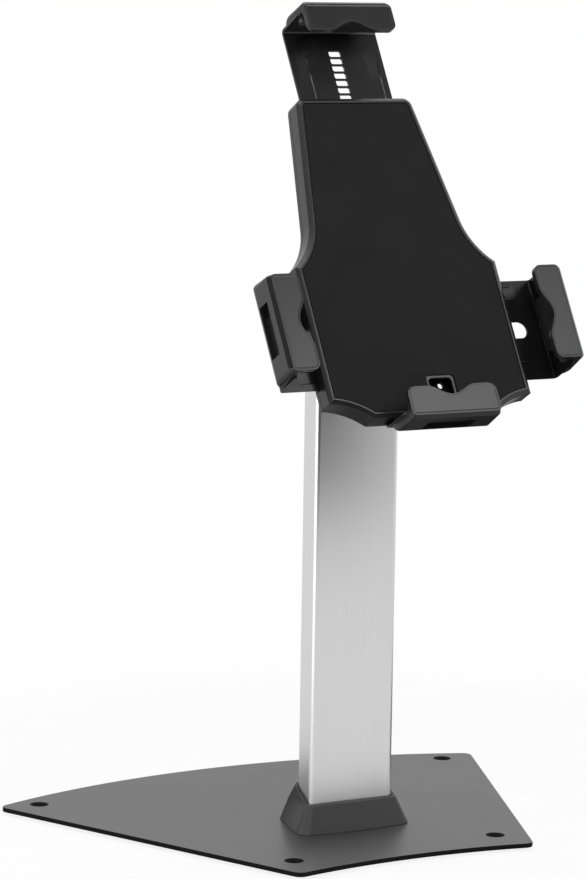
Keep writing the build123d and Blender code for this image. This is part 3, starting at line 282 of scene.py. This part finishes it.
def fadeGrooves(bm, nodeName):
    # slices the sheet across at stations, then brings the groove floors and their ridges back to the flat
    along = faceToArm[nodeName]
    across = faceOut.cross(along)
    start, tip, stretch = grooveRun[nodeName]
    web = max((face for face in bm.faces if face.normal.dot(faceOut) > grooveLook["flatAbove"]),
              key=lambda face: face.calc_area())
    front = faceOut.dot(web.calc_center_median())
    back = front - grooveLook["sheetMm"] * mm
    inner, outer = grooveLook["bandMm"]
    before, past = tip - grooveLook["beforeTipMm"], tip + grooveLook["pastTipMm"]
    for vert in bm.verts:
        place = vert.co - faceCentre
        if inner * mm < abs(place.dot(across)) < outer * mm and before * mm < place.dot(along) < past * mm:
            vert.co += along * stretch * mm
    start, tip = start + stretch / 2, tip + stretch
    for number in range(grooveLook["stations"] + 1):
        station = start + (tip - start) * number / grooveLook["stations"]
        sliceMesh(bm, faceCentre + along * station * mm, along, grooveLook["snapMm"])
    skin = grooveLook["skinMm"] * mm
    for vert in bm.verts:
        reach = (vert.co - faceCentre).dot(along) / mm
        level = faceOut.dot(vert.co)
        nearSheet = abs(level - (front + back) / 2) < grooveLook["nearSheetMm"] * mm
        if nearSheet and start < reach < tip + grooveLook["fadePastMm"]:
            part = min((reach - start) / (tip - start), 1)
            faded = part * part * (3 - 2 * part) * (1 - grooveLook["leftDeep"])
            if back + skin < level < front - skin:
                vert.co += faceOut * (front - level) * faded
            elif level < back - skin:
                vert.co += faceOut * (back - level) * faded


# moulded hooks: a bead runs round the lip's shallow dish, and the outer corners are rounded to endMm. backMm is the
# round behind the wall, taperMm how far each end closes in towards the lip, edgeMm the bevel between wall and lip,
# cutsAt the cuts along a rounding, from its start at 0 to its end at 1
clawRound = {"lipMm": 0.9, "dishMm": 0.7, "dishDeepMm": 0.25, "flatAbove": 0.99, "sameLevelMm": 0.2,
             "endMm": 3.0, "backMm": 6.5, "taperMm": 2.2, "edgeMm": 2.2, "cutsAt": (0, 0.35, 0.6, 0.8, 0.93),
             "snapMm": 0.01, "mergeMm": 0.03}


def roundClaw(bm, along):
    # the lip is the largest of the flat faces that stand furthest out
    flat = [face for face in bm.faces if face.normal.dot(faceOut) > clawRound["flatAbove"]]
    top = max(faceOut.dot(face.calc_center_median()) for face in flat)
    furthest = [face for face in flat
                if top - faceOut.dot(face.calc_center_median()) < clawRound["sameLevelMm"] * mm]
    lip = max(furthest, key=lambda face: face.calc_area())
    bmesh.ops.inset_region(bm, faces=[lip], thickness=clawRound["lipMm"] * mm, use_even_offset=True)
    bmesh.ops.inset_region(bm, faces=[lip], thickness=clawRound["dishMm"] * mm,
                           depth=-clawRound["dishDeepMm"] * mm, use_even_offset=True)
    roundEnds(bm, along)


def roundEnds(bm, along):
    # slices the hook near its two ends, then draws the outer corners in onto a quarter circle
    across = faceOut.cross(along)
    levels = [faceOut.dot(vert.co) for vert in bm.verts]
    sides = [across.dot(vert.co) for vert in bm.verts]
    outer = max(along.dot(vert.co) for vert in bm.verts)
    low, high = min(levels), max(levels)
    middle = (min(sides) + max(sides)) / 2
    half = max(sides) - middle
    endRound, backRound, edge, taper = (clawRound[key] * mm for key in ("endMm", "backMm", "edgeMm", "taperMm"))
    snapMm = clawRound["snapMm"]
    for part in clawRound["cutsAt"]:
        inset = endRound * (1 - part)
        sliceMesh(bm, along * (outer - inset), along, snapMm)
        sliceMesh(bm, along * (outer - edge - inset), along, snapMm)
        for side in (-1, 1):
            for end in (half, half - taper / 2, half - taper):
                sliceMesh(bm, across * (middle + side * (end - inset)), across, snapMm)
    for vert in bm.verts:
        level = faceOut.dot(vert.co)
        end = half - taper * (level - low) / (high - low)
        aside = across.dot(vert.co) - middle
        out = along
        bevelled = min(max(level - (high - edge), 0), edge)
        depth = along.dot(vert.co) - (outer - bevelled - endRound)
        fromAxis = Vector((along.dot(vert.co) - (outer - backRound), level - (low + backRound)))
        if fromAxis.x > 0 > fromAxis.y:  # on the round behind the wall
            out = (along * fromAxis.x + faceOut * fromAxis.y).normalized()
            depth = fromAxis.length - (backRound - endRound)
        overhang = abs(aside) - (end - endRound)
        if overhang > 0 and depth > 0:
            pull = 1 - max(overhang, depth) / math.hypot(overhang, depth)
            vert.co -= out * depth * pull + across * math.copysign(overhang * pull, aside)
    bmesh.ops.remove_doubles(bm, verts=bm.verts, dist=clawRound["mergeMm"] * mm)
    bmesh.ops.dissolve_degenerate(bm, edges=bm.edges, dist=clawRound["mergeMm"] * mm)


# angles in degrees. topSlope parts the plate's faces from its cut sides, which take the painted shade; faceWeight
# keeps flat faces flat in the gloss
softLook = {"segments": 2, "sharpAngle": 24, "flatAngle": 0.4, "mergeMm": 0.002, "weldMm": 0.003,
            "topSlope": 0.95, "faceWeight": 90}
# width of the rounding on each piece's edges, in mm
softEdges = {
    "base_plate": 0.35, "base_collar": 0.5, "front_cover": 0.35, "rear_cover": 0.35, "front_pad": 0.2,
    "top_claw": 0.3, "left_claw": 0.3, "right_claw": 0.3, "bottom_claw": 0.3,
    "top_arm": 0.2, "left_arm": 0.2, "right_arm": 0.2, "bottom_bracket": 0.2,
    "column_cap": 0.5, "tilt_bracket": 0.4,
}


def softCopy(nodeName, widthMm):
    # the CAD piece merged into one skin, with its sharp edges rounded off
    bm = bmesh.new()
    bm.from_mesh(nodes[nodeName].data)
    bmesh.ops.remove_doubles(bm, verts=bm.verts, dist=softLook["mergeMm"] * mm)
    bmesh.ops.dissolve_limit(bm, angle_limit=math.radians(softLook["flatAngle"]), verts=bm.verts, edges=bm.edges)
    bmesh.ops.recalc_face_normals(bm, faces=bm.faces)
    if nodeName in grooveRun:
        fadeGrooves(bm, nodeName)
    if nodeName.endswith("_claw"):
        roundClaw(bm, faceToArm[nodeName])
    for face in bm.faces:
        face.smooth = True
    obj = makeObject(nodeName + "_soft", bm, nodes[nodeName].data.materials[0])
    if nodeName == "base_plate":
        obj.data.materials.append(plateSideShade)  # its cut sides and hole walls, painted near black as shade
        for face in obj.data.polygons:
            face.material_index = 1 if abs(face.normal.z) < softLook["topSlope"] else 0
    bevel = obj.modifiers.new("rounded edges", "BEVEL")
    bevel.width = widthMm * mm
    bevel.segments = softLook["segments"]
    bevel.limit_method = "ANGLE"
    bevel.angle_limit = math.radians(softLook["sharpAngle"])
    bevel.use_clamp_overlap = nodeName in faceToArm
    bevel.material = -1
    weld = obj.modifiers.new("closed seams", "WELD")
    weld.merge_threshold = softLook["weldMm"] * mm
    normals = obj.modifiers.new("flat faces", "WEIGHTED_NORMAL")
    normals.mode = "FACE_AREA"
    normals.weight = softLook["faceWeight"]
    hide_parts(nodeName)
    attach(obj, bodyOf[nodeName])


for nodeName, widthMm in softEdges.items():
    softCopy(nodeName, widthMm)
print("pieces with rounded edges:", len(softEdges))


def seenWhite(tree, amount=None):
    # 1 for rays that look at the background, whether straight, mirrored or through glass
    path = addNode(tree, "ShaderNodeLightPath")
    seen = path.outputs["Is Camera Ray"]
    for kind in ("Is Glossy Ray", "Is Transmission Ray"):
        links = {0: seen, 1: path.outputs[kind]}
        seen = addNode(tree, "ShaderNodeMath", {"operation": "MAXIMUM"}, links).outputs[0]
    if amount is not None:
        seen = addNode(tree, "ShaderNodeMath", {"operation": "MULTIPLY"}, {0: seen, 1: amount}).outputs[0]
    return seen


# matt paper that turns white with distance, so that the stand keeps its shadow and the backdrop stays clean
floorLook = {"dark": "#f0f0f0", "light": "#f4f4f4", "roughness": 0.9, "cloudMm": 30, "halfSizeM": 6,
             "nearM": 0.3, "farM": 0.7, "nearWhite": 0.86}
material, tree, shader, coords = newMaterial("matt_paper_floor")
cloud = grainNoise(tree, coords, floorLook["cloudMm"])
tree.links.new(ramp(tree, cloud, floorLook["dark"], floorLook["light"]), shader.inputs["Base Color"])
shader.inputs["Roughness"].default_value = floorLook["roughness"]
away = addNode(tree, "ShaderNodeVectorMath", {"operation": "LENGTH"}, {0: coords}).outputs["Value"]
limits = {"From Min": floorLook["nearM"], "From Max": floorLook["farM"], "To Min": floorLook["nearWhite"]}
fade = addNode(tree, "ShaderNodeMapRange", {"interpolation_type": "SMOOTHSTEP", **limits}, {"Value": away})
amount = seenWhite(tree, fade.outputs["Result"])
paper = addNode(tree, "ShaderNodeEmission", {"Color": (1, 1, 1, 1), "Strength": 1.0})
mix = addNode(tree, "ShaderNodeMixShader", links={0: amount, 1: shader.outputs[0], 2: paper.outputs[0]})
output = next(node for node in tree.nodes if node.type == "OUTPUT_MATERIAL")
tree.links.new(mix.outputs[0], output.inputs["Surface"])
bm = bmesh.new()
bmesh.ops.create_grid(bm, x_segments=1, y_segments=1, size=floorLook["halfSizeM"])
floor = makeObject("floor", bm, material)

skyStrength = 0.36
world = bpy.data.worlds.new("studio")
scene.world = world
world.use_nodes = True
tree = world.node_tree
tree.nodes.clear()
sky = addNode(tree, "ShaderNodeBackground", {"Color": (1, 1, 1, 1), "Strength": skyStrength})
white = addNode(tree, "ShaderNodeBackground", {"Color": (1, 1, 1, 1), "Strength": 1.0})
mix = addNode(tree, "ShaderNodeMixShader", links={0: seenWhite(tree), 1: sky.outputs[0], 2: white.outputs[0]})
addNode(tree, "ShaderNodeOutputWorld", links={"Surface": mix.outputs[0]})


def facing(look):
    # the turn that points a lamp or a card from its place at its aim
    return (Vector(look["aim"]) - Vector(look["place"])).to_track_quat("-Z", "Y")


lampLook = {
    "key": {"place": (-1.0, -2.6, 2.2), "aim": (0, 0, 0.25), "size": (1.5, 1.5), "power": 34},
    "top": {"place": (0.2, 0.6, 2.6), "aim": (0, 0, 0.2), "size": (2.0, 2.0), "power": 26},
    "lowRight": {"place": (0.44, -0.74, 0.93), "aim": (0, -0.18, 0.3), "size": (0.4, 0.28), "power": 2.4},
    "leftHigh": {"place": (-1.42, 0.2, 0.9), "aim": (0, -0.05, 0.46), "size": (0.25, 0.7), "power": 4},
}
for name, look in lampLook.items():
    light = bpy.data.lights.new(name, "AREA")
    light.shape = "RECTANGLE"
    light.size, light.size_y = look["size"]
    light.energy = look["power"]
    lamp = bpy.data.objects.new(name, light)
    lamp.location = look["place"]
    lamp.rotation_euler = facing(look).to_euler()
    scene.collection.objects.link(lamp)

# cards seen only in the gloss: black ones darken the column's front, the slanted edges and the upper lip, the white
# one draws the bright line down the column's corner
cardLook = {
    "front": {"place": (-0.03, -0.3, 0.255), "aim": (-0.03, 0, 0.255), "size": (0.42, 0.19)},
    "right": {"place": (0.33, 0.1, 0.001), "aim": (0.33, 0.1, 0.3), "size": (0.34, 0.5)},
    "left": {"place": (-0.94, -0.42, 1.0), "aim": (0, -0.15, 0.4), "size": (1.0, 0.7)},
    "high": {"place": (0.5, -0.7, 1.4), "aim": (0, -0.12, 0.51), "size": (0.8, 0.4)},
    "white": {"place": (-0.52, -0.29, 0.17), "aim": (0, 0, 0.15), "size": (0.5, 0.33)},
}
feltLook = {"dark": "#060606", "light": "#0a0a0a", "roughness": 1.0, "fibreMm": 1}
glowLook = {"dark": "#f4f4f4", "light": "#ffffff", "cloudMm": 5, "strength": 2.2}
blackFelt, tree, shader, coords = newMaterial("black_felt_card")
fibre = grainNoise(tree, coords, feltLook["fibreMm"])
tree.links.new(ramp(tree, fibre, feltLook["dark"], feltLook["light"]), shader.inputs["Base Color"])
shader.inputs["Roughness"].default_value = feltLook["roughness"]
whiteGlow, tree, shader, coords = newMaterial("white_glow_card")
cloud = grainNoise(tree, coords, glowLook["cloudMm"])
tree.links.new(ramp(tree, cloud, glowLook["dark"], glowLook["light"]), shader.inputs["Emission Color"])
shader.inputs["Emission Strength"].default_value = glowLook["strength"]
for name, look in cardLook.items():
    bm = bmesh.new()
    bmesh.ops.create_grid(bm, x_segments=1, y_segments=1, size=0.5)  # a metre square
    bmesh.ops.scale(bm, verts=bm.verts, vec=(*look["size"], 1))
    bmesh.ops.rotate(bm, verts=bm.verts, matrix=facing(look).to_matrix())
    bmesh.ops.translate(bm, verts=bm.verts, vec=look["place"])
    card = makeObject(name + "_card", bm, whiteGlow if name == "white" else blackFelt)
    card.visible_camera = False
    card.visible_diffuse = False
    card.visible_shadow = False
    card.visible_transmission = False
print("stage: floor,", len(cardLook), "cards and", len(lampLook), "lamps")

# the photograph's camera, worked out from the stand's own corners
view = {"azimuth": -29.2, "elevation": 7.89, "roll": 0.91, "targetMm": (-41.34, 0, 254.57),
        "distanceMm": 2143.9, "focalPixels": 3450, "imageHeight": 879, "sensorMm": 24, "clipM": 50}
azimuth, elevation, roll = (math.radians(view[key]) for key in ("azimuth", "elevation", "roll"))
forward = Vector((-math.sin(azimuth) * math.cos(elevation), math.cos(azimuth) * math.cos(elevation),
                  -math.sin(elevation)))
right = forward.cross(Vector((0, 0, 1))).normalized()
up = right.cross(forward)
right, up = right * math.cos(roll) + up * math.sin(roll), up * math.cos(roll) - right * math.sin(roll)
camera = bpy.data.objects.new("camera", bpy.data.cameras.new("camera"))
camera.data.sensor_fit = "VERTICAL"
camera.data.sensor_height = view["sensorMm"]
camera.data.lens = view["focalPixels"] / view["imageHeight"] * view["sensorMm"]
camera.data.clip_end = view["clipM"]
place = (Vector(view["targetMm"]) - forward * view["distanceMm"]) * mm
camera.matrix_world = Matrix.Translation(place) @ Matrix((right, up, -forward)).transposed().to_4x4()
scene.collection.objects.link(camera)
scene.camera = camera
scene.view_settings.view_transform = "Standard"

print("scene ready")
